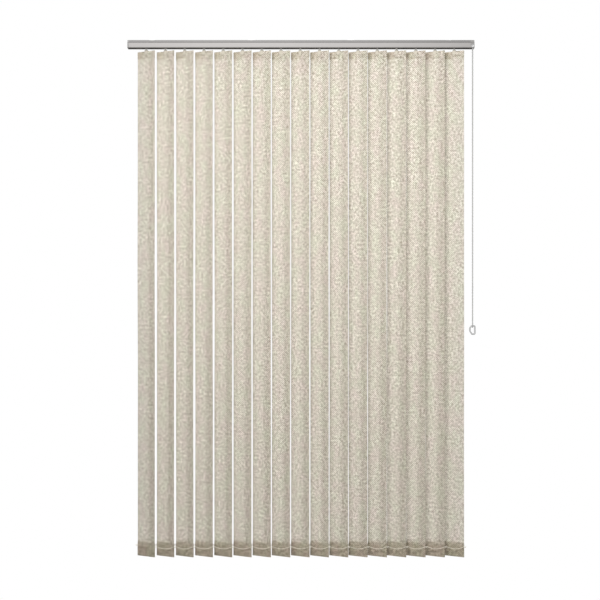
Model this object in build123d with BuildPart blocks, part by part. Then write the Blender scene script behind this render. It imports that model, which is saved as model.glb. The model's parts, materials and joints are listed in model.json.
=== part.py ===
from build123d import *
import os
from math import cos, pi, radians, sin, tan

# Vertical blind: an aluminium headrail with one carrier, hook stem and fabric louvre every 78 mm.
# Millimetres, +Z up. The origin is the middle of the ceiling face of the brackets, +X runs along
# the rail to the control end and -Y is the room side.

os.makedirs("parts", exist_ok=True)

# ---- Driving dimensions ----
louvre_count = 17
louvre_pitch = 78.0
first_stem_margin = 74.2  # from the left end of the rail to the first stem
last_stem_margin = 79.8  # from the last stem to the right end of the rail
louvre_width = 89.0
louvre_length = 2046.0
rest_tilt = 33.8  # degrees between a louvre and the rail, right edge towards the room
stack_pitch = 20.0  # distance between stems when the louvres are drawn together

# ---- Headrail section ----
rail_depth = 40.0
rail_height = 32.0
rail_wall = 1.2
neck_depth = 31.0  # the set-back band along the top
neck_height = 8.0
shoulder_height = 3.0
bevel = 3.0
trough_width = 20.0
trough_depth = 4.5
lip_gap = 15.0  # opening between the two lips of the trough
lip_thickness = 1.2
slot_width = 12.0
track_spacing = 18.0  # between the two ribs that the carriers run on
track_width = 1.2
track_height = 1.0

# ---- Ceiling brackets ----
bracket_count = 4
bracket_spacing = 400.0
bracket_width = 25.0
bracket_plate = 1.2
bracket_depth = 26.0
bracket_hole = 5.0
bracket_leg = 1.2
bracket_hook = 1.9
bracket_play = 0.1

# ---- End fittings ----
cap_thickness = 6.0
cap_round = 1.0
housing_length = 16.0
spigot_length = 10.0
spigot_play = 0.2
bearing_play = 0.08
rod_end_play = 0.5

# ---- Carrier and its tilt gear ----
carrier_spacing = 1.0  # left between two carriers when they are drawn together
carrier_headroom = 1.5  # below the lower edge of the rail's shoulder
carrier_play = 0.5  # to each side wall
running_gap = 0.1  # to the track ribs
carrier_floor = 3.4
nose_diameter = 10.6
gear_tip_radius = 6.6
gear_root_radius = 5.5
gear_teeth = 16
tooth_width = 1.1
gear_thickness = 6.0
gear_play = 0.35
worm_radius = 3.8
worm_length = 13.6
worm_play = 0.3
mesh_gap = 0.3
rod_core_radius = 1.7
rod_lobe_radius = 0.8
rod_radius = 2.4
rod_play = 0.2
cord_hole = 3.0
cord_hole_y = 12.5

# ---- Hook stem ----
stem_diameter = 5.0
stem_play = 0.1
stem_head_radius = 3.2
stem_head_height = 3.0
jaw_width = 14.0
jaw_leg = 1.4
jaw_bridge = 3.0
jaw_leg_length = 14.0
jaw_flare = 4.0
jaw_play = 0.2
peg_diameter = 4.0
peg_drop = 8.5  # from the louvre's top edge
peg_play = 0.05  # between the peg and the top of its hole

# ---- Louvre ----
louvre_gap = 11.0  # from the rail's underside to the louvre's top edge
fabric_thickness = 0.5
top_pocket = 30.0
bottom_pocket = 58.0
pocket_play = 0.1
peg_hole = 5.0
hanger_margin = 4.5  # from the hanger's end to the fabric's edge
hanger_height = 24.0
hanger_thickness = 1.2
weight_margin = 2.0  # from the weight's end to the fabric's edge
weight_height = 44.0
weight_thickness = 2.2
weight_corner = 4.0
clip_height = 41.0  # of the clip above the louvre's bottom edge
clip_tab = 6.0  # height of the tab that carries the clip
clip_reach = 7.3  # beyond the fabric's edge
clip_head_diameter = 4.2
clip_head_thickness = 1.0
clip_shoulder = 1.0  # the tab behind the clip, beyond the fabric's edge

# ---- Bottom chains ----
chain_diameter = 2.2
chain_sag = 11.5
chain_reach = 5.2  # from the fabric's edge to the chain's middle
chain_over_clip = 1.6  # clearance above the clip's head, which the bend there uses up
chain_tail = 4.5
tail_drop = 2.7
bend_room = 0.45  # the share of a run that one bend may use

# ---- Control chain, its wheel and its weight ----
control_bead = 4.5
bead_pitch = 6.0
wheel_pockets = 9
chain_inset = 6.8  # from the rail's right end to the chain's plane
chain_drop = 1120.0  # from the rail's underside to the top of the weight ring
bead_side_play = 0.45
wheel_flange = 1.2
loop_bend = 0.98  # of the largest bend that fits at the loop's corners
wheel_play = 0.15
cavity_play = 0.5
ring_wire = 6.4
ring_right = 9.0  # the ring's middle line, from the chain's plane
ring_left = 11.0
ring_height = 33.0
ring_corner = 4.0
ring_shoulder = 8.0
ring_slant = 19.8  # height at which the left side starts to slant, below the ring's top
ring_foot = 2.75

# ---- Worked-out places ----
overall_length = first_stem_margin + (louvre_count - 1) * louvre_pitch + last_stem_margin
rail_top = -bracket_plate
rail_bottom = rail_top - rail_height
rail_left = -overall_length / 2 + cap_thickness
rail_right = overall_length / 2 - housing_length
rail_length = rail_right - rail_left
first_stem = -overall_length / 2 + first_stem_margin
last_stem = first_stem + (louvre_count - 1) * louvre_pitch
carrier_bottom = rail_bottom + rail_wall + track_height + running_gap
carrier_top = rail_top - neck_height - shoulder_height - carrier_headroom
carrier_height = carrier_top - carrier_bottom
carrier_length = stack_pitch - carrier_spacing
carrier_half_depth = rail_depth / 2 - rail_wall - carrier_play
gear_bottom = carrier_bottom + carrier_floor
tooth_length = 2 * (gear_tip_radius - gear_root_radius)
rod_y = -(gear_tip_radius + mesh_gap + worm_radius)
rod_z = gear_bottom + gear_thickness / 2
louvre_top = rail_bottom - louvre_gap
louvre_bottom = louvre_top - louvre_length
top_pocket_thickness = hanger_thickness + 2 * (fabric_thickness + pocket_play)
bottom_pocket_thickness = weight_thickness + 2 * (fabric_thickness + pocket_play)
jaw_slot = top_pocket_thickness + 2 * jaw_play
jaw_thickness = jaw_slot + 2 * jaw_leg
peg_z = louvre_top - peg_drop
peg_hole_z = peg_z - (peg_hole - peg_diameter) / 2 + peg_play
hanger_width = louvre_width - 2 * hanger_margin
weight_width = louvre_width - 2 * weight_margin
chain_x = overall_length / 2 - chain_inset
wheel_radius = wheel_pockets * bead_pitch / (2 * pi)
wheel_groove = control_bead + 2 * bead_side_play
turn_radius = ring_wire / 2 + control_bead / 2 + wheel_play
ring_top = rail_bottom - chain_drop - ring_wire / 2

# A louvre's own directions: across its width towards the room edge, and out of its back face.
across = Vector(cos(radians(rest_tilt)), -sin(radians(rest_tilt)), 0)
outward = Vector(sin(radians(rest_tilt)), cos(radians(rest_tilt)), 0)


def both_sides(half):
    """Closes an outline that is the same on both sides of the rail's middle."""
    return half + [(-y, z) for y, z in reversed(half)]


def level(x, z):
    """A level plane at a stem, lined up with the rail."""
    return Plane(origin=(x, 0, z))


def louvre_plan(x, z):
    """A level plane at a stem, lined up with its louvre."""
    return Plane(origin=(x, 0, z), x_dir=across, z_dir=(0, 0, 1))


def louvre_section(x, along=0.0):
    """An upright plane across a louvre's thickness, so far along its width."""
    return Plane(origin=Vector(x, 0, 0) + across * along, x_dir=outward, z_dir=across)


def louvre_face(x, depth=0.0):
    """An upright plane in a louvre's own face, so far out of its back."""
    return Plane(origin=Vector(x, 0, 0) + outward * depth, x_dir=across, z_dir=-outward)


def bend_radii(points):
    """The largest tangent arc that fits at each inner point of a route."""
    radii = []
    for before, here, after in zip(points, points[1:], points[2:]):
        run_in = Vector(here) - Vector(before)
        run_out = Vector(after) - Vector(here)
        half_turn = radians(run_in.get_angle(run_out) / 2)
        radii.append(bend_room * min(run_in.length, run_out.length) / tan(half_turn))
    return radii


def report_tube(name, length, diameter, volume):
    """Prints a tube's length, and its volume beside its section times its length."""
    print(name, "length", round(length, 1), "volume", round(volume, 1))
    print(name, "section times length", round(pi * diameter**2 / 4 * length, 1))


rail_half = [
    (trough_width / 2, rail_top - trough_depth),
    (trough_width / 2, rail_top - lip_thickness),
    (lip_gap / 2, rail_top - lip_thickness),
    (lip_gap / 2, rail_top),
    (neck_depth / 2, rail_top),
    (neck_depth / 2, rail_top - neck_height),
    (rail_depth / 2, rail_top - neck_height - shoulder_height),
    (rail_depth / 2, rail_bottom + bevel),
    (rail_depth / 2 - bevel, rail_bottom),
]

plug_half = [
    (carrier_half_depth - bevel / 2, carrier_top),
    (carrier_half_depth, carrier_top - bevel / 2),
    (carrier_half_depth, carrier_bottom + bevel / 2),
    (carrier_half_depth - bevel / 2, carrier_bottom),
]

# ---- Ceiling brackets: a plate with two hooked legs that snap into the rail's trough ----
with BuildPart() as ceiling_brackets:
    for number in range(bracket_count):
        bracket_x = (number - (bracket_count - 1) / 2) * bracket_spacing
        leg_outside = lip_gap / 2 - bracket_play
        hook_middle = leg_outside - bracket_leg + bracket_hook
        hook_top = rail_top - lip_thickness - bracket_play
        with BuildSketch(Plane.YZ.offset(bracket_x - bracket_width / 2)):
            with Locations((0, -bracket_plate / 2)):
                Rectangle(bracket_depth, bracket_plate)
            for side in (-1, 1):
                with Locations((side * (leg_outside - bracket_leg / 2), hook_top / 2)):
                    Rectangle(bracket_leg, -hook_top)
                with Locations((side * hook_middle, hook_top - bracket_leg / 2)):
                    Rectangle(2 * bracket_hook, bracket_leg)
        extrude(amount=bracket_width)
        with Locations((bracket_x, 0, 0)):
            Hole(bracket_hole / 2)
ceiling_brackets.part.label = "ceiling_brackets"
export_step(ceiling_brackets.part, "parts/ceiling_brackets.step")

# ---- Headrail: one hollow extrusion with a running slot below ----
with BuildPart() as headrail:
    with BuildSketch(Plane.YZ.offset(rail_left)):
        with BuildLine():
            Polyline(*both_sides(rail_half), close=True)
        make_face()
        offset(amount=-rail_wall, kind=Kind.INTERSECTION, mode=Mode.SUBTRACT)
        for side in (-1, 1):
            with Locations((side * track_spacing / 2, rail_bottom + rail_wall + track_height / 2)):
                Rectangle(track_width, track_height)
        with Locations((0, rail_bottom + rail_wall / 2)):
            Rectangle(slot_width, 2 * rail_wall, mode=Mode.SUBTRACT)
    extrude(amount=rail_length)
headrail.part.label = "headrail"
export_step(headrail.part, "parts/headrail.step")

# ---- Return end cap: closes the left end and carries the tilt rod's tip ----
with BuildPart() as return_end_cap:
    with BuildSketch(Plane.YZ.offset(rail_left)):
        with BuildLine():
            Polyline(*both_sides(rail_half), close=True)
        make_face()
    extrude(amount=-cap_thickness)
    fillet(return_end_cap.edges().group_by(Axis.X)[0].filter_by(Axis.Z).group_by(Axis.Y)[0], cap_round)
    with BuildSketch(Plane.YZ.offset(rail_left)):
        with BuildLine():
            Polyline(*both_sides(plug_half), close=True)
        make_face()
        offset(amount=-spigot_play)
    extrude(amount=spigot_length)
    with BuildSketch(Plane.YZ.offset(rail_left - cap_thickness / 2)):
        with Locations((rod_y, rod_z)):
            Circle(rod_radius + bearing_play)
    extrude(amount=spigot_length + cap_thickness, mode=Mode.SUBTRACT)
return_end_cap.part.label = "return_end_cap"
export_step(return_end_cap.part, "parts/return_end_cap.step")

# ---- Control housing: closes the right end round the chain wheel, open below for the chain ----
cavity_radius = wheel_radius + control_bead / 2 + cavity_play
wheel_width = wheel_groove + 2 * wheel_flange
with BuildPart() as control_housing:
    with BuildSketch(Plane.YZ.offset(rail_right)):
        with BuildLine():
            Polyline(*both_sides(rail_half), close=True)
        make_face()
    extrude(amount=housing_length)
    with BuildSketch(Plane.YZ.offset(rail_right)):
        with BuildLine():
            Polyline(*both_sides(plug_half), close=True)
        make_face()
        offset(amount=-spigot_play)
    extrude(amount=-spigot_length)
    with BuildSketch(Plane.YZ.offset(rail_right - spigot_length)):
        with Locations((rod_y, rod_z)):
            Circle(rod_radius + bearing_play)
    extrude(amount=spigot_length + housing_length / 2, mode=Mode.SUBTRACT)
    with BuildSketch(Plane.YZ.offset(chain_x - wheel_width / 2 - cavity_play)):
        with Locations((rod_y, rod_z)):
            Circle(cavity_radius)
    extrude(amount=wheel_width + 2 * cavity_play, mode=Mode.SUBTRACT)
    with BuildSketch(Plane.YZ.offset(chain_x - wheel_groove / 2 - cavity_play)):
        with Locations((rod_y, rod_z - rail_height / 2)):
            Rectangle(2 * cavity_radius, rail_height)
    extrude(amount=wheel_groove + 2 * cavity_play, mode=Mode.SUBTRACT)
control_housing.part.label = "control_housing"
export_step(control_housing.part, "parts/control_housing.step")

# ---- Tilt rod: a three-lobed rod from cap to housing, with the chain wheel pressed on its end ----
rod_start = rail_left - cap_thickness / 2 + rod_end_play
rod_end = chain_x + wheel_width / 2
with BuildPart() as rod:
    with BuildSketch(Plane.YZ.offset(rod_start)):
        with Locations((rod_y, rod_z)):
            Circle(rod_core_radius)
            with PolarLocations(rod_radius - rod_lobe_radius, 3):
                Circle(rod_lobe_radius)
    extrude(amount=rod_end - rod_start)
with BuildPart() as chain_wheel:
    with BuildSketch(Plane.YZ.offset(chain_x - wheel_width / 2)):
        with Locations((rod_y, rod_z)):
            Circle(wheel_radius)
    extrude(amount=wheel_width)
    with BuildSketch(Plane.YZ.offset(chain_x - wheel_groove / 2)):
        with Locations((rod_y, rod_z)):
            Circle(wheel_radius)
            Circle(wheel_radius - control_bead / 2 - wheel_play, mode=Mode.SUBTRACT)
            with PolarLocations(wheel_radius, wheel_pockets):
                Circle(control_bead / 2 + 2 * wheel_play)
    extrude(amount=wheel_groove, mode=Mode.SUBTRACT)
    with BuildSketch(Plane.YZ.offset(chain_x - wheel_width / 2)):
        with Locations((rod_y, rod_z)):
            Circle(rod_radius + bearing_play / 2)
    extrude(amount=wheel_width, mode=Mode.SUBTRACT)
tilt_rod = Compound(label="tilt_rod", children=[rod.part, chain_wheel.part])
export_step(tilt_rod, "parts/tilt_rod.step")

# ---- Control chain: an endless loop over the wheel and under the weight ring's top ----
ring_inside = ring_top - turn_radius
chain_corners = [
    (rod_y + wheel_radius, rod_z + wheel_radius),
    (rod_y + turn_radius, ring_inside),
    (rod_y - turn_radius, ring_inside),
    (rod_y - wheel_radius, rod_z + wheel_radius),
]
corner_radii = [loop_bend * radius for radius in (wheel_radius, turn_radius, turn_radius, wheel_radius)]
with BuildPart() as control_chain:
    with BuildLine(Plane.YZ.offset(chain_x)) as loop:
        FilletPolyline(*chain_corners, radius=corner_radii, close=True)
    with BuildSketch(Plane(origin=loop.line @ 0, z_dir=loop.line % 0)):
        Circle(control_bead / 2)
    sweep()
control_chain.part.label = "control_chain"
export_step(control_chain.part, "parts/control_chain.step")

# ---- Chain weight: a round-bar ring, straight on its right, rounded and slanting on its left ----
ring_corners = [
    (chain_x - ring_shoulder / 2, ring_top),
    (chain_x + ring_right, ring_top),
    (chain_x + ring_right, ring_top - ring_height),
    (chain_x - ring_foot, ring_top - ring_height),
    (chain_x - ring_left, ring_top - ring_slant),
    (chain_x - ring_left, ring_top - ring_shoulder),
]
with BuildPart() as chain_weight:
    with BuildLine(Plane.XZ.offset(-rod_y)) as ring:
        FilletPolyline(*ring_corners, radius=ring_corner, close=True)
    with BuildSketch(Plane(origin=ring.line @ 0, z_dir=ring.line % 0)):
        Circle(ring_wire / 2)
    sweep()
chain_weight.part.label = "chain_weight"
export_step(chain_weight.part, "parts/chain_weight.step")

# ---- Carriers, hook stems and louvres ----
for number in range(1, louvre_count + 1):
    stem_x = first_stem + (number - 1) * louvre_pitch

    # Carrier: a moulded block on the track ribs, with a nose in the slot and a pocket for the gear.
    with BuildPart() as block:
        with BuildSketch(Plane.YZ.offset(stem_x - carrier_length / 2)):
            with BuildLine():
                Polyline(*both_sides(plug_half), close=True)
            make_face()
            for drop in (carrier_height / 3, 2 * carrier_height / 3):
                with Locations((cord_hole_y, carrier_top - drop)):
                    Circle(cord_hole / 2, mode=Mode.SUBTRACT)
            with Locations((rod_y, rod_z)):
                Circle(rod_radius + rod_play, mode=Mode.SUBTRACT)
        extrude(amount=carrier_length)
        with BuildSketch(level(stem_x, rail_bottom)):
            Circle(nose_diameter / 2)
        extrude(amount=carrier_bottom - rail_bottom)
        with BuildSketch(level(stem_x, rail_bottom)):
            Circle(stem_diameter / 2 + stem_play)
        extrude(amount=rail_height, mode=Mode.SUBTRACT)
        with BuildSketch(level(stem_x, gear_bottom)):
            Circle(gear_tip_radius + gear_play)
        extrude(amount=carrier_height, mode=Mode.SUBTRACT)
        with BuildSketch(level(stem_x, rod_z - worm_radius - worm_play)):
            with Locations((0, rod_y)):
                Rectangle(worm_length + 2 * worm_play, 2 * (worm_radius + worm_play))
        extrude(amount=carrier_height, mode=Mode.SUBTRACT)
    with BuildPart() as worm:
        with BuildSketch(Plane.YZ.offset(stem_x - worm_length / 2)):
            with Locations((rod_y, rod_z)):
                Circle(worm_radius)
                Circle(rod_radius + rod_play, mode=Mode.SUBTRACT)
        extrude(amount=worm_length)
    carrier = Compound(label=f"carrier_{number:02d}", children=[block.part, worm.part])
    export_step(carrier, f"parts/carrier_{number:02d}.step")

    # Hook stem: a toothed wheel on a round stem that flares into two legs and a cross peg.
    with BuildPart() as stem:
        with BuildSketch(louvre_plan(stem_x, gear_bottom + running_gap)):
            Circle(gear_root_radius)
            with PolarLocations(gear_tip_radius - tooth_length / 2, gear_teeth):
                Rectangle(tooth_length, tooth_width)
        extrude(amount=gear_thickness)
        with BuildSketch(louvre_plan(stem_x, gear_bottom + gear_thickness)):
            Circle(stem_head_radius)
        extrude(amount=stem_head_height)
        with BuildSketch(louvre_plan(stem_x, gear_bottom + gear_thickness / 2)):
            Circle(stem_diameter / 2)
        extrude(amount=louvre_top + jaw_bridge + jaw_flare - gear_bottom - gear_thickness / 2)
        with BuildSketch(louvre_plan(stem_x, louvre_top + jaw_bridge + jaw_flare)):
            Circle(stem_diameter / 2)
        with BuildSketch(louvre_plan(stem_x, louvre_top + jaw_bridge)):
            Rectangle(jaw_width, jaw_thickness)
        loft()
        with BuildSketch(louvre_plan(stem_x, louvre_top + jaw_bridge)):
            Rectangle(jaw_width, jaw_thickness)
        extrude(amount=-(jaw_bridge + jaw_leg_length))
        with BuildSketch(louvre_plan(stem_x, louvre_top + jaw_play)):
            Rectangle(2 * jaw_width, jaw_slot)
        extrude(amount=-(louvre_length + jaw_play), mode=Mode.SUBTRACT)
        with BuildSketch(louvre_face(stem_x, jaw_slot / 2 + jaw_leg / 2)):
            with Locations((0, peg_z)):
                Circle(peg_diameter / 2)
        extrude(amount=jaw_slot + jaw_leg)
    stem.part.label = f"hook_stem_{number:02d}"
    export_step(stem.part, f"parts/hook_stem_{number:02d}.step")

    # Louvre: fabric folded into a pocket at each end, with its hanger and its bottom weight inside.
    with BuildPart() as fabric:
        with BuildSketch(louvre_section(stem_x, -louvre_width / 2)):
            with Locations((0, (louvre_top + louvre_bottom) / 2)):
                Rectangle(fabric_thickness, louvre_length)
            with Locations((0, louvre_top - top_pocket / 2)):
                Rectangle(top_pocket_thickness, top_pocket)
            with Locations((0, louvre_bottom + bottom_pocket / 2)):
                Rectangle(bottom_pocket_thickness, bottom_pocket)
            with Locations((0, louvre_top - top_pocket / 2)):
                Rectangle(
                    top_pocket_thickness - 2 * fabric_thickness,
                    top_pocket - 2 * fabric_thickness,
                    mode=Mode.SUBTRACT,
                )
            with Locations((0, louvre_bottom + bottom_pocket / 2)):
                Rectangle(
                    bottom_pocket_thickness - 2 * fabric_thickness,
                    bottom_pocket - 2 * fabric_thickness,
                    mode=Mode.SUBTRACT,
                )
        extrude(amount=louvre_width)
        with BuildSketch(louvre_face(stem_x, top_pocket_thickness)):
            with Locations((0, peg_hole_z)):
                Circle(peg_hole / 2)
        extrude(amount=2 * top_pocket_thickness, mode=Mode.SUBTRACT)
    with BuildPart() as hanger:
        with BuildSketch(louvre_face(stem_x, hanger_thickness / 2)):
            with Locations((0, louvre_top - fabric_thickness - pocket_play - hanger_height / 2)):
                RectangleRounded(hanger_width, hanger_height, weight_corner)
            with Locations((0, peg_hole_z)):
                Circle(peg_hole / 2, mode=Mode.SUBTRACT)
        extrude(amount=hanger_thickness)
    with BuildPart() as weight:
        with BuildSketch(louvre_face(stem_x, weight_thickness / 2)):
            with Locations((0, louvre_bottom + fabric_thickness + pocket_play + weight_height / 2)):
                RectangleRounded(weight_width, weight_height, weight_corner)
        extrude(amount=weight_thickness)
        clip_start = louvre_width / 2 - weight_corner
        clip_end = louvre_width / 2 + clip_reach
        for side in (-1, 1):
            with BuildSketch(louvre_section(stem_x, side * clip_start)):
                with Locations((0, louvre_bottom + clip_height)):
                    Rectangle(weight_thickness, clip_tab)
            extrude(amount=side * (louvre_width / 2 + clip_shoulder - clip_start))
            with BuildSketch(louvre_section(stem_x, side * clip_start)):
                with Locations((0, louvre_bottom + clip_height)):
                    Circle(weight_thickness / 2)
            extrude(amount=side * (clip_end - clip_start))
            with BuildSketch(louvre_section(stem_x, side * (clip_end - clip_head_thickness))):
                with Locations((0, louvre_bottom + clip_height)):
                    Circle(clip_head_diameter / 2)
            extrude(amount=side * clip_head_thickness)
    louvre = Compound(
        label=f"louvre_{number:02d}", children=[fabric.part, hanger.part, weight.part]
    )
    export_step(louvre, f"parts/louvre_{number:02d}.step")

# ---- Bottom chains: one along the room edges and one along the window edges ----
# The shape of a span, as a share of the pitch and a share of the sag.
span_shape = [(0.12, 0.42), (0.31, 0.86), (0.50, 1.0), (0.69, 0.86), (0.88, 0.42)]
clip_head_top = louvre_bottom + clip_height + clip_head_diameter / 2
chain_top = clip_head_top + chain_over_clip + chain_diameter / 2
for name, side in (("bottom_chain_front", 1), ("bottom_chain_back", -1)):
    shift = across * (side * (louvre_width / 2 + chain_reach))
    route = [(first_stem + shift.X - chain_tail, shift.Y, chain_top - tail_drop)]
    for number in range(louvre_count):
        clip_x = first_stem + number * louvre_pitch + shift.X
        route.append((clip_x, shift.Y, chain_top))
        if number < louvre_count - 1:
            for along, drop in span_shape:
                place = clip_x + along * louvre_pitch
                route.append((place, shift.Y, chain_top - drop * chain_sag))
    route.append((last_stem + shift.X + chain_tail, shift.Y, chain_top - tail_drop))
    radii = bend_radii(route)
    print(name, "radii", [round(radius, 1) for radius in radii[:8]], "smallest", round(min(radii), 1))
    with BuildPart() as chain:
        with BuildLine() as line:
            FilletPolyline(*route, radius=radii)
        with BuildSketch(Plane(origin=line.line @ 0, z_dir=line.line % 0)):
            Circle(chain_diameter / 2)
        sweep()
    chain.part.label = name
    export_step(chain.part, f"parts/{name}.step")
    report_tube(name, line.wires()[0].length, chain_diameter, chain.part.volume)

print("control_chain radii", [round(radius, 2) for radius in corner_radii])
report_tube("control_chain", loop.wires()[0].length, control_bead, control_chain.part.volume)
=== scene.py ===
import json
from math import cos, pi, radians, sin, tau

import bmesh
import bpy
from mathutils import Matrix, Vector


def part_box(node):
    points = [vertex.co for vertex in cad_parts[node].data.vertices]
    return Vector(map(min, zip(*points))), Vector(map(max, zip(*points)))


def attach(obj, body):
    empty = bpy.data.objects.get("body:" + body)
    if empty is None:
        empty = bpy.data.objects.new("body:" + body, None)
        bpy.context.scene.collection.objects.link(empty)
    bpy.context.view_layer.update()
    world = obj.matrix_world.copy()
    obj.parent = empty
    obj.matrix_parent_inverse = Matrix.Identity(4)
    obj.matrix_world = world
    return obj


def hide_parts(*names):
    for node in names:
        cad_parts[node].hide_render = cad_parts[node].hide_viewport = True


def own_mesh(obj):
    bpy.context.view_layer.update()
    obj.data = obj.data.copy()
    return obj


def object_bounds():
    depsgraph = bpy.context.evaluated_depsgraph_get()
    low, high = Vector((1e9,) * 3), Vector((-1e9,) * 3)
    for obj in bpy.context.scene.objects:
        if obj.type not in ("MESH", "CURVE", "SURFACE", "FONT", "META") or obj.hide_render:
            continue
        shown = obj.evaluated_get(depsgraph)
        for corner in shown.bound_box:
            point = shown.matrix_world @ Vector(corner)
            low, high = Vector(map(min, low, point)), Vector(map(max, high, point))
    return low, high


# Vertical blind. Metres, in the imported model's frame: the origin is the middle of the brackets' ceiling
# face, +X runs along the rail to the control end and -Y is the room side.

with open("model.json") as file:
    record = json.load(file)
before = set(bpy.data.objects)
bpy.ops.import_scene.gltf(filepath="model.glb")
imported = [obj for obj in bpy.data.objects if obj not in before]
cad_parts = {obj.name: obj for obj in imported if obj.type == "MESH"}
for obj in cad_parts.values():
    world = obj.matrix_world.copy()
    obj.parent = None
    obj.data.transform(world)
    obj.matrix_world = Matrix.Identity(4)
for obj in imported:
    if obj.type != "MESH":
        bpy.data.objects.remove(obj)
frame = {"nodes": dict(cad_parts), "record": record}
cad_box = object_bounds()

# ---- Sizes ----
louvre_count = 17
louvre_width = 0.089
rest_tilt = radians(33.8)
top_pocket = 0.030
bottom_pocket = 0.058
top_pocket_half = 0.00095
bottom_pocket_half = 0.00145
fabric_bow = 0.0009
painted_shadow_reach = 0.05  # how far the painted shadow of the rail and stem reaches down the far top corner from the louvre's top
painted_shadow_full = 0.008
dark_edge_width = 0.0016
dark_edge_full = 0.0006
hanger_width = 0.080
hanger_height = 0.024
hanger_thickness = 0.0012
plate_corner = 0.004
pocket_play = 0.0006  # from a pocket's fold to the plate in it
weight_width = 0.085
weight_height = 0.044
weight_thickness = 0.0022
clip_height = 0.041
clip_reach = 0.0073
chain_reach = 0.0052
cloth_shift = 0.31  # moves each louvre to its own stretch of the weave

across = Vector((cos(rest_tilt), -sin(rest_tilt), 0))
outward = Vector((sin(rest_tilt), cos(rest_tilt), 0))

# ---- Places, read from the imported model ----
rail_low, rail_high = (Vector(corner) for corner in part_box("headrail"))
whole_low = Vector(cad_box[0])
louvre_low, louvre_high = (Vector(corner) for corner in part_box("louvre_01"))
louvre_top = louvre_high.z
louvre_bottom = louvre_low.z
louvre_length = louvre_top - louvre_bottom


def stem_x(number):
    """The place of a louvre's stem along the rail."""
    low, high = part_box(f"louvre_{number:02d}")
    return (low[0] + high[0]) / 2


pitch = stem_x(2) - stem_x(1)


# ---- Mesh helpers ----
def add_mesh(name, bm, body, material, smooth=True):
    """Turns a bmesh into a piece that rides on a body and has a finish."""
    mesh = bpy.data.meshes.new(name)
    bm.to_mesh(mesh)
    bm.free()
    piece = bpy.data.objects.new(name, mesh)
    bpy.context.collection.objects.link(piece)
    mesh.materials.append(material)
    for face in mesh.polygons:
        face.use_smooth = smooth
    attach(piece, body)
    return piece


def louvre_point(x, along, out, z):
    """A point on a louvre, from its stem: along its width, out of its back face, and up."""
    return Vector((x, 0, z)) + across * along + outward * out


def rounded_plate(bm, x, z_middle, width, height, thickness, corner, edge):
    """A flat plate in a louvre's plane with rounded corners and softened rims."""
    steps = 6
    outline = []
    for quarter, (side_u, side_z) in enumerate(((1, 1), (-1, 1), (-1, -1), (1, -1))):
        for step in range(steps + 1):
            angle = (quarter + step / steps) * pi / 2
            outline.append(
                (
                    side_u * (width / 2 - corner) + corner * cos(angle),
                    side_z * (height / 2 - corner) + corner * sin(angle),
                )
            )
    rings = []
    for out, inset in (
        (-thickness / 2, edge),
        (-thickness / 2 + edge, 0),
        (thickness / 2 - edge, 0),
        (thickness / 2, edge),
    ):
        ring = []
        for u, z in outline:
            scale_u = 1 - inset / (width / 2)
            scale_z = 1 - inset / (height / 2)
            ring.append(bm.verts.new(louvre_point(x, u * scale_u, out, z_middle + z * scale_z)))
        rings.append(ring)
    for lower, upper in zip(rings, rings[1:]):
        for i in range(len(lower)):
            j = (i + 1) % len(lower)
            bm.faces.new((lower[i], lower[j], upper[j], upper[i]))
    bm.faces.new(list(reversed(rings[0])))
    bm.faces.new(rings[-1])


def turned(bm, start, direction, profile, sides=12):
    """A turned shape about an axis: profile is a list of (distance along, radius)."""
    side_a = direction.orthogonal().normalized()
    side_b = direction.cross(side_a)
    rings = []
    for along, radius in profile:
        centre = start + direction * along
        ring = []
        for i in range(sides):
            angle = tau * i / sides
            ring.append(bm.verts.new(centre + (side_a * cos(angle) + side_b * sin(angle)) * radius))
        rings.append(ring)
    for lower, upper in zip(rings, rings[1:]):
        for i in range(sides):
            j = (i + 1) % sides
            bm.faces.new((lower[i], lower[j], upper[j], upper[i]))
    bm.faces.new(list(reversed(rings[0])))
    bm.faces.new(rings[-1])


def route_line(name, points):
    """The smooth line of a route, a NURBS spline with the route's points as its control points."""
    curve = bpy.data.curves.new(name, "CURVE")
    curve.dimensions = "3D"
    curve.resolution_u = 8
    spline = curve.splines.new("NURBS")
    spline.points.add(len(points) - 1)
    for point, place in zip(spline.points, points):
        point.co = (*place, 1)
    spline.order_u = 3
    spline.use_endpoint_u = True
    holder = bpy.data.objects.new(name, curve)
    mesh = bpy.data.meshes.new_from_object(holder)
    line = [vertex.co.copy() for vertex in mesh.vertices]
    bpy.data.objects.remove(holder)
    bpy.data.curves.remove(curve)
    bpy.data.meshes.remove(mesh)
    return line


def walk(line, step):
    """Places and directions along a line, evenly spaced."""
    lengths = [0.0]
    for a, b in zip(line, line[1:]):
        lengths.append(lengths[-1] + (b - a).length)
    count = max(2, round(lengths[-1] / step))
    found = []
    segment = 0
    for number in range(count + 1):
        target = lengths[-1] * number / count
        while segment < len(line) - 2 and lengths[segment + 1] < target:
            segment += 1
        run = lengths[segment + 1] - lengths[segment]
        share = (target - lengths[segment]) / run if run > 0 else 0
        a, b = line[segment], line[segment + 1]
        found.append((a.lerp(b, share), (b - a).normalized()))
    return found, lengths[-1]


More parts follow.
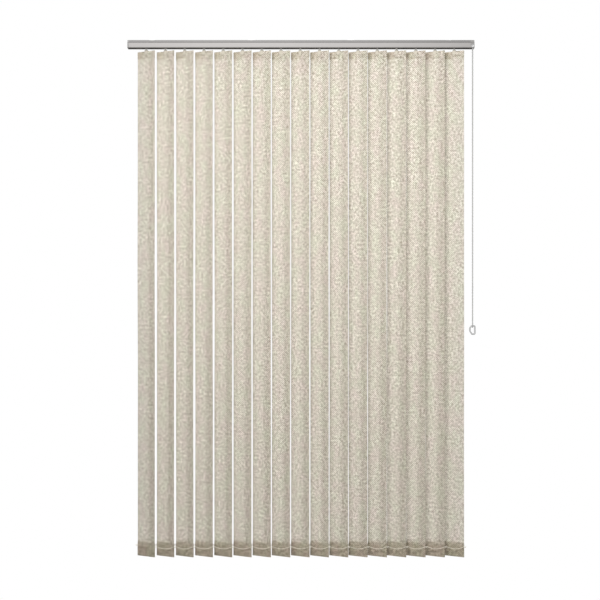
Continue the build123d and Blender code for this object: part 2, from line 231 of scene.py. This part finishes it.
def bead_chain(name, points, bead, string, bead_pitch, body, material, sides=10, rows=6):
    """Moulded beads on a string along a route; returns the piece, its line and its length."""
    line = route_line(name + "_route", points)
    bm = bmesh.new()
    places, _ = walk(line, bead_pitch)
    for place, direction in places[:-1]:
        profile = []
        for row in range(rows + 1):
            angle = pi * (0.06 + 0.88 * row / rows)
            profile.append((-cos(angle) * bead / 2, sin(angle) * bead / 2))
        turned(bm, place, direction, profile, sides)
    strands, length = walk(line, bead_pitch / 2)
    previous = None
    for place, direction in strands:
        side_a = direction.cross(Vector((0.13, 0.31, 0.94))).normalized()
        side_b = direction.cross(side_a)
        ring = []
        for i in range(6):
            angle = tau * i / 6
            ring.append(bm.verts.new(place + (side_a * cos(angle) + side_b * sin(angle)) * string / 2))
        if previous:
            for i in range(6):
                j = (i + 1) % 6
                bm.faces.new((previous[i], previous[j], ring[j], ring[i]))
        previous = ring
    piece = add_mesh(name, bm, body, material)
    return piece, line, length


# ---- Shader groups ----
def new_group(name, inputs, outputs):
    """An empty shader node group with float or vector inputs and outputs."""
    group = bpy.data.node_groups.new(name, "ShaderNodeTree")
    for label, kind, value in inputs:
        socket = group.interface.new_socket(label, in_out="INPUT", socket_type=kind)
        if value is not None:
            socket.default_value = value
    for label, kind in outputs:
        group.interface.new_socket(label, in_out="OUTPUT", socket_type=kind)
    return group


class Nodes:
    """Short calls for adding and joining the nodes of a tree."""

    def __init__(self, tree):
        self.tree = tree

    def add(self, kind, **settings):
        node = self.tree.nodes.new(kind)
        for label, value in settings.items():
            setattr(node, label, value)
        return node

    def join(self, source, target):
        self.tree.links.new(source, target)

    def set_in(self, socket, value):
        if isinstance(value, bpy.types.NodeSocket):
            self.join(value, socket)
        else:
            socket.default_value = value

    def math(self, operation, a, b=0.0, clamp=False):
        node = self.add("ShaderNodeMath", operation=operation, use_clamp=clamp)
        self.set_in(node.inputs[0], a)
        self.set_in(node.inputs[1], b)
        return node.outputs[0]

    def span(self, value, low, high, to_low, to_high):
        node = self.add("ShaderNodeMapRange")
        for socket, given in zip(node.inputs, (value, low, high, to_low, to_high)):
            self.set_in(socket, given)
        return node.outputs[0]

    def stretch(self, vector, scale):
        node = self.add("ShaderNodeMapping")
        self.join(vector, node.inputs["Vector"])
        node.inputs["Scale"].default_value = scale
        return node.outputs[0]

    def noise(self, vector, scale, detail=2.0, roughness=0.5):
        node = self.add("ShaderNodeTexNoise")
        self.join(vector, node.inputs["Vector"])
        node.inputs["Scale"].default_value = scale
        node.inputs["Detail"].default_value = detail
        node.inputs["Roughness"].default_value = roughness
        return node.outputs[0]

    def blend_colour(self, share, a, b, mode="MIX"):
        node = self.add("ShaderNodeMix", data_type="RGBA", blend_type=mode)
        self.set_in(node.inputs[0], share)
        self.set_in(node.inputs[6], a)
        self.set_in(node.inputs[7], b)
        return node.outputs[2]


def weave_group():
    """Slubbed plain weave: uneven warp and weft yarns as a colour share and a height."""
    group = new_group(
        "slub_weave",
        [
            ("Cloth Place", "NodeSocketVector", None),
            ("Slub", "NodeSocketFloat", 1.0),
            ("Yarns Per Metre", "NodeSocketFloat", 900.0),
        ],
        [
            ("Shade", "NodeSocketFloat"),
            ("Tint", "NodeSocketFloat"),
            ("Warmth", "NodeSocketFloat"),
            ("Height", "NodeSocketFloat"),
        ],
    )
    n = Nodes(group)
    given = n.add("NodeGroupInput")
    out = n.add("NodeGroupOutput")
    place = given.outputs["Cloth Place"]
    weft_slub = n.noise(n.stretch(place, (55.0, 620.0, 1.0)), 1.0, 3.0, 0.62)
    warp_slub = n.noise(n.stretch(place, (560.0, 36.0, 1.0)), 1.0, 3.0, 0.62)
    coarse = n.noise(n.stretch(place, (100.0, 112.0, 1.0)), 1.0, 1.0, 0.6)
    cloud = n.noise(place, 14.0, 2.0, 0.5)
    warmth = n.noise(n.stretch(place, (22.0, 13.0, 1.0)), 1.0, 3.0, 0.6)
    yarns = n.math("ADD", n.math("MULTIPLY", weft_slub, 0.9), n.math("MULTIPLY", warp_slub, 0.8))
    yarns = n.math("ADD", yarns, n.math("MULTIPLY", coarse, 1.3))
    split = n.add("ShaderNodeSeparateXYZ")
    n.join(place, split.inputs[0])
    basket_x = n.math("SINE", n.math("ADD", n.math("MULTIPLY", split.outputs[0], tau / 0.0093), coarse))
    basket_y = n.math("SINE", n.math("ADD", n.math("MULTIPLY", split.outputs[1], tau / 0.0087), weft_slub))
    basket = n.math("MULTIPLY", n.math("MULTIPLY", basket_x, basket_y), 0.3)
    centred = n.math("ADD", n.math("SUBTRACT", yarns, 1.5), basket)
    shade = n.math("MULTIPLY", centred, given.outputs["Slub"])
    n.join(n.math("ADD", shade, 0.5, clamp=True), out.inputs["Shade"])
    n.join(cloud, out.inputs["Tint"])
    n.join(n.span(warmth, 0.35, 0.65, 0.0, 1.0), out.inputs["Warmth"])
    turns = n.math("MULTIPLY", given.outputs["Yarns Per Metre"], tau)
    over = n.math("SINE", n.math("MULTIPLY", split.outputs[0], turns))
    under = n.math("SINE", n.math("MULTIPLY", split.outputs[1], turns))
    crossing = n.math("MULTIPLY", over, under)
    height = n.math("ADD", n.math("MULTIPLY", crossing, 0.35), yarns)
    n.join(height, out.inputs["Height"])
    return group


def grain_group():
    """Fine moulded or drawn grain: a roughness share and a height, stretched along an axis."""
    group = new_group(
        "fine_grain",
        [("Place", "NodeSocketVector", None), ("Scale", "NodeSocketFloat", 900.0)],
        [("Rub", "NodeSocketFloat"), ("Height", "NodeSocketFloat")],
    )
    n = Nodes(group)
    given = n.add("NodeGroupInput")
    out = n.add("NodeGroupOutput")
    fine = n.add("ShaderNodeTexNoise")
    n.join(given.outputs["Place"], fine.inputs["Vector"])
    n.join(given.outputs["Scale"], fine.inputs["Scale"])
    fine.inputs["Detail"].default_value = 3.0
    n.join(fine.outputs[0], out.inputs["Height"])
    n.join(n.noise(given.outputs["Place"], 30.0, 3.0, 0.6), out.inputs["Rub"])
    return group


slub_weave = weave_group()
fine_grain = grain_group()


def new_material(name):
    """A material with a Principled shader; returns it, its nodes and the shader."""
    material = bpy.data.materials.new(name)
    material.use_nodes = True
    return material, Nodes(material.node_tree), material.node_tree.nodes["Principled BSDF"]


def place_group(n, group, **inputs):
    """Adds a node group and sets or joins its inputs."""
    node = n.add("ShaderNodeGroup", node_tree=group)
    for label, value in inputs.items():
        n.set_in(node.inputs[label.replace("_", " ")], value)
    return node


def add_bump(n, shader, height, strength, distance):
    """Feeds a height through a Bump node to a shader's normal."""
    bump = n.add("ShaderNodeBump")
    bump.inputs["Strength"].default_value = strength
    bump.inputs["Distance"].default_value = distance
    n.join(height, bump.inputs["Height"])
    n.join(bump.outputs[0], shader.inputs["Normal"])
    return bump


def plastic(name, colour, worn, roughness, grain=900.0, specular=0.4):
    """Moulded plastic with a fine grain, faintly uneven in colour and gloss."""
    material, n, shader = new_material(name)
    place = n.add("ShaderNodeTexCoord").outputs["Object"]
    grained = place_group(n, fine_grain, Place=place, Scale=grain)
    n.join(n.blend_colour(grained.outputs["Rub"], colour, worn), shader.inputs["Base Color"])
    gloss = n.span(grained.outputs["Rub"], 0.3, 0.7, roughness - 0.05, roughness + 0.07)
    n.join(gloss, shader.inputs["Roughness"])
    shader.inputs["Specular IOR Level"].default_value = specular
    add_bump(n, shader, grained.outputs["Height"], 0.25, 0.0001)
    return material


def drawn_metal(name, colour, groove, roughness, shade_band_top=None):
    """Satin metal drawn along the rail; above the given height a darker strip is painted in as shade of the
    set-back groove.
    """
    material, n, shader = new_material(name)
    place = n.add("ShaderNodeTexCoord").outputs["Object"]
    lines = n.stretch(place, (3.0, 900.0, 900.0))
    grained = place_group(n, fine_grain, Place=lines, Scale=1.0)
    shade = n.blend_colour(grained.outputs["Height"], colour, groove)
    if shade_band_top is not None:
        # Painted shade: above the strip's top height the colour is blended towards near black, standing in for
        # the shade in the rail's set-back top groove.
        split = n.add("ShaderNodeSeparateXYZ")
        n.join(place, split.inputs[0])
        painted_shade_band = n.span(split.outputs[2], shade_band_top - 0.0012, shade_band_top + 0.0012, 0.0, 1.0)
        shade = n.blend_colour(painted_shade_band, shade, n.blend_colour(0.4, groove, (0.05, 0.05, 0.05, 1)))
    n.join(shade, shader.inputs["Base Color"])
    gloss = n.span(grained.outputs["Rub"], 0.3, 0.7, roughness - 0.05, roughness + 0.06)
    n.join(gloss, shader.inputs["Roughness"])
    shader.inputs["Metallic"].default_value = 0.15
    shader.inputs["Specular IOR Level"].default_value = 0.25
    add_bump(n, shader, grained.outputs["Height"], 0.2, 0.0001)
    return material


def louvre_cloth():
    """Stiffened slub-weave cloth that lets some of the window's light through."""
    material, n, shader = new_material("louvre_cloth")
    place = n.add("ShaderNodeUVMap", uv_map="cloth").outputs[0]
    woven = place_group(n, slub_weave, Cloth_Place=place, Slub=1.75, Yarns_Per_Metre=820.0)
    plain = n.blend_colour(woven.outputs["Shade"], (0.279, 0.246, 0.195, 1), (0.779, 0.742, 0.675, 1))
    cloud = n.span(woven.outputs["Tint"], 0.35, 0.65, 0.0, 0.35)
    clouded = n.blend_colour(cloud, plain, (0.467, 0.435, 0.37, 1))
    dye = n.blend_colour(woven.outputs["Warmth"], (1.0, 0.94, 0.95, 1), (0.96, 1.0, 0.93, 1))
    dyed = n.blend_colour(1.0, clouded, dye, "MULTIPLY")
    split = n.add("ShaderNodeSeparateXYZ")
    n.join(place, split.inputs[0])
    hung = n.add("ShaderNodeSeparateXYZ")
    n.join(n.add("ShaderNodeTexCoord").outputs["Object"], hung.inputs[0])
    # Painted shadow: the far top corner of each louvre, under the rail and stem, is blended towards a dark
    # brown.
    shadow_down = n.span(hung.outputs[2], louvre_top - painted_shadow_reach, louvre_top - painted_shadow_full, 0.0, 0.5)
    along = n.math("FLOORED_MODULO", split.outputs[0], cloth_shift)
    shadow_across = n.span(along, 0.0, louvre_width * 0.55, 1.0, 0.0)
    top_shadowed = n.blend_colour(n.math("MULTIPLY", shadow_down, shadow_across), dyed, (0.42, 0.345, 0.235, 1))
    # Painted shade: the bottom pocket, where the weight keeps light from coming through the cloth, is darkened
    # by a multiply.
    pocket = n.span(hung.outputs[2], louvre_bottom + 0.04, louvre_bottom + 0.075, 1.0, 0.0)
    pocket_shaded = n.blend_colour(pocket, top_shadowed, (0.84, 0.80, 0.74, 1), "MULTIPLY")
    # Darker along both long edges of each louvre.
    from_middle = n.math("ABSOLUTE", n.math("SUBTRACT", along, louvre_width / 2))
    dark_edge = n.span(from_middle, louvre_width / 2 - dark_edge_width, louvre_width / 2 - dark_edge_full, 0.0, 0.35)
    colour = n.blend_colour(dark_edge, pocket_shaded, (0.30, 0.26, 0.19, 1))
    n.join(colour, shader.inputs["Base Color"])
    shader.inputs["Roughness"].default_value = 0.92
    shader.inputs["Specular IOR Level"].default_value = 0.15
    shader.inputs["Sheen Weight"].default_value = 0.12
    bump = add_bump(n, shader, woven.outputs["Height"], 0.55, 0.0003)
    through = n.add("ShaderNodeBsdfTranslucent")
    n.join(n.blend_colour(0.25, colour, (0.86, 0.835, 0.775, 1)), through.inputs["Color"])
    n.join(bump.outputs[0], through.inputs["Normal"])
    mixed = n.add("ShaderNodeMixShader")
    mixed.inputs[0].default_value = 0.42
    n.join(shader.outputs[0], mixed.inputs[1])
    n.join(through.outputs[0], mixed.inputs[2])
    n.join(mixed.outputs[0], material.node_tree.nodes["Material Output"].inputs["Surface"])
    return material


def hook_plastic():
    """Grey stem plastic, with pale jaws over the cloth. The jaws' colour is a guess."""
    material, n, shader = new_material("stem_plastic")
    place = n.add("ShaderNodeTexCoord").outputs["Object"]
    grained = place_group(n, fine_grain, Place=place, Scale=900.0)
    split = n.add("ShaderNodeSeparateXYZ")
    n.join(place, split.inputs[0])
    jaw = n.span(split.outputs[2], louvre_top + 0.0005, louvre_top + 0.0045, 1.0, 0.0)
    grey = n.blend_colour(grained.outputs["Rub"], (0.23, 0.225, 0.215, 1), (0.19, 0.185, 0.175, 1))
    pale = n.blend_colour(grained.outputs["Rub"], (0.42, 0.39, 0.33, 1), (0.38, 0.35, 0.29, 1))
    n.join(n.blend_colour(jaw, grey, pale), shader.inputs["Base Color"])
    n.join(n.span(jaw, 0.0, 1.0, 0.45, 0.3), shader.inputs["Roughness"])
    shader.inputs["Specular IOR Level"].default_value = 0.3
    add_bump(n, shader, grained.outputs["Height"], 0.2, 0.0001)
    return material


cloth = louvre_cloth()
hanger_plastic = plastic("hanger_plastic", (0.62, 0.60, 0.55, 1), (0.55, 0.53, 0.48, 1), 0.35)
weight_plastic = plastic("bottom_weight_plastic", (0.66, 0.62, 0.54, 1), (0.56, 0.52, 0.45, 1), 0.45)
bottom_chain_plastic = plastic("bottom_chain_plastic", (0.80, 0.76, 0.66, 1), (0.72, 0.68, 0.58, 1), 0.4)
control_chain_plastic = plastic("control_chain_plastic", (0.36, 0.36, 0.355, 1), (0.30, 0.30, 0.295, 1), 0.42)
ring_plastic = plastic("ring_plastic", (0.36, 0.36, 0.36, 1), (0.30, 0.30, 0.30, 1), 0.45)
end_plastic = plastic("end_fitting_plastic", (0.20, 0.195, 0.19, 1), (0.165, 0.16, 0.155, 1), 0.5, 900.0, 0.25)
carrier_plastic = plastic("carrier_plastic", (0.70, 0.70, 0.68, 1), (0.60, 0.60, 0.58, 1), 0.4)
stem_plastic = hook_plastic()
# Height above which the rail's top strip is painted darker, as shade of its set-back groove.
shade_band_top = rail_high.z - 0.0105
rail_metal = drawn_metal("satin_rail", (0.215, 0.205, 0.20, 1), (0.175, 0.168, 0.163, 1), 0.5, shade_band_top)
rod_metal = drawn_metal("drawn_rod", (0.68, 0.68, 0.68, 1), (0.52, 0.52, 0.52, 1), 0.32)
bracket_metal = drawn_metal("zinc_bracket", (0.58, 0.58, 0.57, 1), (0.44, 0.44, 0.43, 1), 0.38)

finishes = {
    "rail_aluminium": rail_metal,
    "rod_aluminium": rod_metal,
    "bracket_steel": bracket_metal,
    "end_fitting_plastic": end_plastic,
    "carrier_plastic": carrier_plastic,
    "stem_plastic": stem_plastic,
    "louvre_fabric": cloth,
    "chain_plastic": control_chain_plastic,
    "weight_plastic": ring_plastic,
    "bottom_chain_plastic": bottom_chain_plastic,
}
for part in frame["record"]["subparts"]:
    for material_slot in frame["nodes"][part["node"]].material_slots:
        material_slot.material = finishes[part["material_slot"]]


# ---- Camera ----
camera_distance = 5.8
view_width = 2.431  # across the stems' plane
camera_data = bpy.data.cameras.new("camera")
camera_data.lens = 36.0 * camera_distance / view_width
camera_data.shift_y = 0.0068
camera = bpy.data.objects.new("camera", camera_data)
camera.location = (-0.0038, -camera_distance, rail_high.z - 1.067)
camera.rotation_euler = (pi / 2, 0, 0)
bpy.context.collection.objects.link(camera)
bpy.context.scene.camera = camera


# ---- Control chain: once round the wheel and down to the ring's top ----
control_bead = 0.0045
wheel_y = -0.0107
wheel_z = -0.0245
wheel_radius = 0.008594
turn_radius = 0.0056
ring_inside = rail_low.z - 1.120 - 0.0032 - turn_radius
clear_of_turn = 0.027  # a straight stretch next to each turn
chain_plane = sum(corner[0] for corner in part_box("control_chain")) / 2
chain_route = [
    (0.0, wheel_z + wheel_radius),
    (wheel_radius, wheel_z + wheel_radius),
    (wheel_radius, wheel_z - clear_of_turn),
    (turn_radius, ring_inside + clear_of_turn),
    (turn_radius, ring_inside),
    (-turn_radius, ring_inside),
    (-turn_radius, ring_inside + clear_of_turn),
    (-wheel_radius, wheel_z - clear_of_turn),
    (-wheel_radius, wheel_z + wheel_radius),
    (0.0, wheel_z + wheel_radius),
]
chain_points = [(chain_plane, wheel_y + y, z) for y, z in chain_route]
control_chain, chain_line, chain_length = bead_chain(
    "control_bead_chain", chain_points, control_bead, 0.0014, 0.006, "root", control_chain_plastic
)
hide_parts("control_chain")


# ---- Bottom chains: from clip to clip along both edges ----
bottom_bead = 0.0022
chain_sag = 0.0115
chain_tail = 0.0045
span_shape = [(0.12, 0.42), (0.31, 0.86), (0.50, 1.0), (0.69, 0.86), (0.88, 0.42)]
chain_top = louvre_bottom + clip_height + 0.0021 + 0.0016 + 0.0011
for side, body, node in ((1, "front_chain", "bottom_chain_front"), (-1, "back_chain", "bottom_chain_back")):
    shift = across * side * (louvre_width / 2 + chain_reach)
    points = [(stem_x(1) + shift.x - chain_tail, shift.y, chain_top - 0.6 * chain_tail)]
    for number in range(1, louvre_count + 1):
        clip_x = stem_x(number) + shift.x
        points.append((clip_x, shift.y, chain_top))
        if number < louvre_count:
            for along, drop in span_shape:
                points.append((clip_x + along * pitch, shift.y, chain_top - drop * chain_sag))
    points.append((stem_x(louvre_count) + shift.x + chain_tail, shift.y, chain_top - 0.6 * chain_tail))
    chain, line, length = bead_chain(
        node + "_beads", points, bottom_bead, 0.0010, 0.0034, body, bottom_chain_plastic, 8, 4
    )
    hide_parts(node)
    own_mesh(chain)


# ---- Louvres ----
def cloth_path():
    """The cloth's line through its thickness, as (out, up), from back seam to back seam by both folds."""
    path = [
        (0.00040, louvre_bottom + bottom_pocket),
        (0.00090, louvre_bottom + 0.92 * bottom_pocket),
        (bottom_pocket_half, louvre_bottom + 0.80 * bottom_pocket),
        (bottom_pocket_half, louvre_bottom + 0.40 * bottom_pocket),
    ]
    for step in range(7):
        angle = pi * step / 6
        path.append((bottom_pocket_half * cos(angle), louvre_bottom + bottom_pocket_half * (1 - sin(angle))))
    path += [
        (-bottom_pocket_half, louvre_bottom + 0.40 * bottom_pocket),
        (-bottom_pocket_half, louvre_bottom + 0.78 * bottom_pocket),
        (-0.00080, louvre_bottom + 0.92 * bottom_pocket),
        (-0.00020, louvre_bottom + bottom_pocket),
        (0.0, louvre_bottom + 1.08 * bottom_pocket),
    ]
    rows = 44
    low = louvre_bottom + 1.08 * bottom_pocket
    high = louvre_top - 1.15 * top_pocket
    for row in range(1, rows + 1):
        path.append((0.0, low + (high - low) * row / rows))
    path += [
        (-0.00025, louvre_top - top_pocket),
        (-top_pocket_half, louvre_top - 0.85 * top_pocket),
        (-top_pocket_half, louvre_top - 0.30 * top_pocket),
    ]
    for step in range(7):
        angle = pi * step / 6
        path.append((-top_pocket_half * cos(angle), louvre_top - top_pocket_half * (1 - sin(angle))))
    path += [
        (top_pocket_half, louvre_top - 0.30 * top_pocket),
        (top_pocket_half, louvre_top - 0.85 * top_pocket),
        (0.00040, louvre_top - top_pocket),
    ]
    return path


def cloth_wave(number, along, z):
    """How far a louvre's cloth stands out of its plane: a shallow bow and a slow wave down its length."""
    drop = (louvre_top - z) / louvre_length
    ends = sin(pi * min(max(drop, 0.0), 1.0))
    bow = fabric_bow * (1 - (2 * along / louvre_width) ** 2)
    phase = 2.1 * number
    wave = 0.0007 * sin(7.0 * drop + phase) + 0.0005 * sin(17.0 * drop + 1.7 * phase)
    twist = 0.010 * sin(3.0 * drop + 0.9 * number) * along
    return ends * (wave + twist + bow)


def make_cloth(number):
    """One louvre's cloth, with both pockets folded from the same strip."""
    x = stem_x(number)
    columns = 14
    path = cloth_path()
    bm = bmesh.new()
    cloth_place = bm.loops.layers.uv.new("cloth")
    length = 0.0
    rows = []
    for index, (out, z) in enumerate(path):
        if index:
            length += Vector((out - path[index - 1][0], z - path[index - 1][1])).length
        row = []
        for column in range(columns + 1):
            along = louvre_width * (column / columns - 0.5)
            standing = out + cloth_wave(number, along, z)
            row.append((bm.verts.new(louvre_point(x, along, standing, z)), along + louvre_width / 2))
        rows.append((row, length))
    for (lower, low_v), (upper, high_v) in zip(rows, rows[1:]):
        for (a, ua), (b, ub), (c, uc), (d, ud) in zip(lower, lower[1:], upper[1:], upper):
            face = bm.faces.new((a, b, c, d))
            for loop, place in zip(face.loops, ((ua, low_v), (ub, low_v), (uc, high_v), (ud, high_v))):
                loop[cloth_place].uv = (place[0] + cloth_shift * number, place[1] + 0.17 * number)
    return bm, length


for number in range(1, louvre_count + 1):
    x = stem_x(number)
    body = f"louvre_set_{number:02d}"

    bm, cut_length = make_cloth(number)
    sheet = add_mesh(f"louvre_cloth_{number:02d}", bm, body, cloth)
    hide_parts(f"louvre_{number:02d}")

    bm = bmesh.new()
    hanger_middle = louvre_top - pocket_play - hanger_height / 2
    rounded_plate(bm, x, hanger_middle, hanger_width, hanger_height, hanger_thickness, plate_corner, 0.0002)
    add_mesh(f"louvre_hanger_{number:02d}", bm, body, hanger_plastic, smooth=False)

    bm = bmesh.new()
    weight_middle = louvre_bottom + pocket_play + weight_height / 2
    rounded_plate(bm, x, weight_middle, weight_width, weight_height, weight_thickness, plate_corner, 0.0003)
    clip_root = weight_width / 2 - 0.002
    for side in (-1, 1):
        start = louvre_point(x, side * clip_root, 0, louvre_bottom + clip_height)
        reach = louvre_width / 2 + clip_reach - clip_root
        neck = 0.0011
        head = 0.0021
        profile = [
            (0, neck),
            (reach - 0.0013, neck),
            (reach - 0.0010, head * 0.85),
            (reach - 0.0007, head),
            (reach - 0.0003, head),
            (reach, head * 0.8),
        ]
        turned(bm, start, across * side, profile, 14)
    add_mesh(f"bottom_weight_{number:02d}", bm, body, weight_plastic, smooth=False)


# ---- Studio ----
def pale_floor():
    """A small pale floor below the blind."""
    bm = bmesh.new()
    floor_z = whole_low.z - 0.30
    for x, y in ((-1.6, -1.6), (1.6, -1.6), (1.6, 0.45), (-1.6, 0.45)):
        bm.verts.new((x, y, floor_z))
    bm.faces.new(bm.verts)
    mesh = bpy.data.meshes.new("floor")
    bm.to_mesh(mesh)
    bm.free()
    floor = bpy.data.objects.new("floor", mesh)
    bpy.context.collection.objects.link(floor)
    material, n, shader = new_material("pale_floor")
    place = n.add("ShaderNodeTexCoord").outputs["Object"]
    cloud = n.noise(place, 3.0)
    n.join(n.blend_colour(cloud, (0.58, 0.58, 0.57, 1), (0.62, 0.62, 0.61, 1)), shader.inputs["Base Color"])
    shader.inputs["Roughness"].default_value = 0.8
    mesh.materials.append(material)


def soft_light(name, place, target, size, power, spread):
    """A large soft lamp at a place, turned to a target."""
    data = bpy.data.lights.new(name, "AREA")
    data.shape = "RECTANGLE"
    data.size, data.size_y = size
    data.energy = power
    data.spread = spread
    lamp = bpy.data.objects.new(name, data)
    lamp.location = place
    lamp.rotation_euler = (Vector(target) - Vector(place)).to_track_quat("-Z", "Y").to_euler()
    bpy.context.collection.objects.link(lamp)


def daylight(source, strength, spread):
    """Soft daylight through the window behind the blind, from one direction."""
    data = bpy.data.lights.new("daylight", "SUN")
    data.energy = strength
    data.angle = spread
    lamp = bpy.data.objects.new("daylight", data)
    lamp.rotation_euler = Vector(source).to_track_quat("Z", "Y").to_euler()
    bpy.context.collection.objects.link(lamp)


def white_surround(seen, given):
    """A plain white surround: bright where it is seen, dimmer as a light."""
    world = bpy.data.worlds.new("surround")
    world.use_nodes = True
    n = Nodes(world.node_tree)
    background = world.node_tree.nodes["Background"]
    rays = n.add("ShaderNodeLightPath")
    n.join(n.span(rays.outputs["Is Camera Ray"], 0.0, 1.0, given, seen), background.inputs["Strength"])
    background.inputs["Color"].default_value = (1, 1, 1, 1)
    bpy.context.scene.world = world


pale_floor()
white_surround(1.0, 0.15)
soft_light("front_top_lamp", (-0.3, -3.3, 0.25), (0, 0, louvre_top - 0.35), (2.4, 0.9), 142, radians(140))
daylight((1.0, 1.0, 0.25), 1.9, radians(32))

bpy.context.scene.view_settings.view_transform = "Standard"
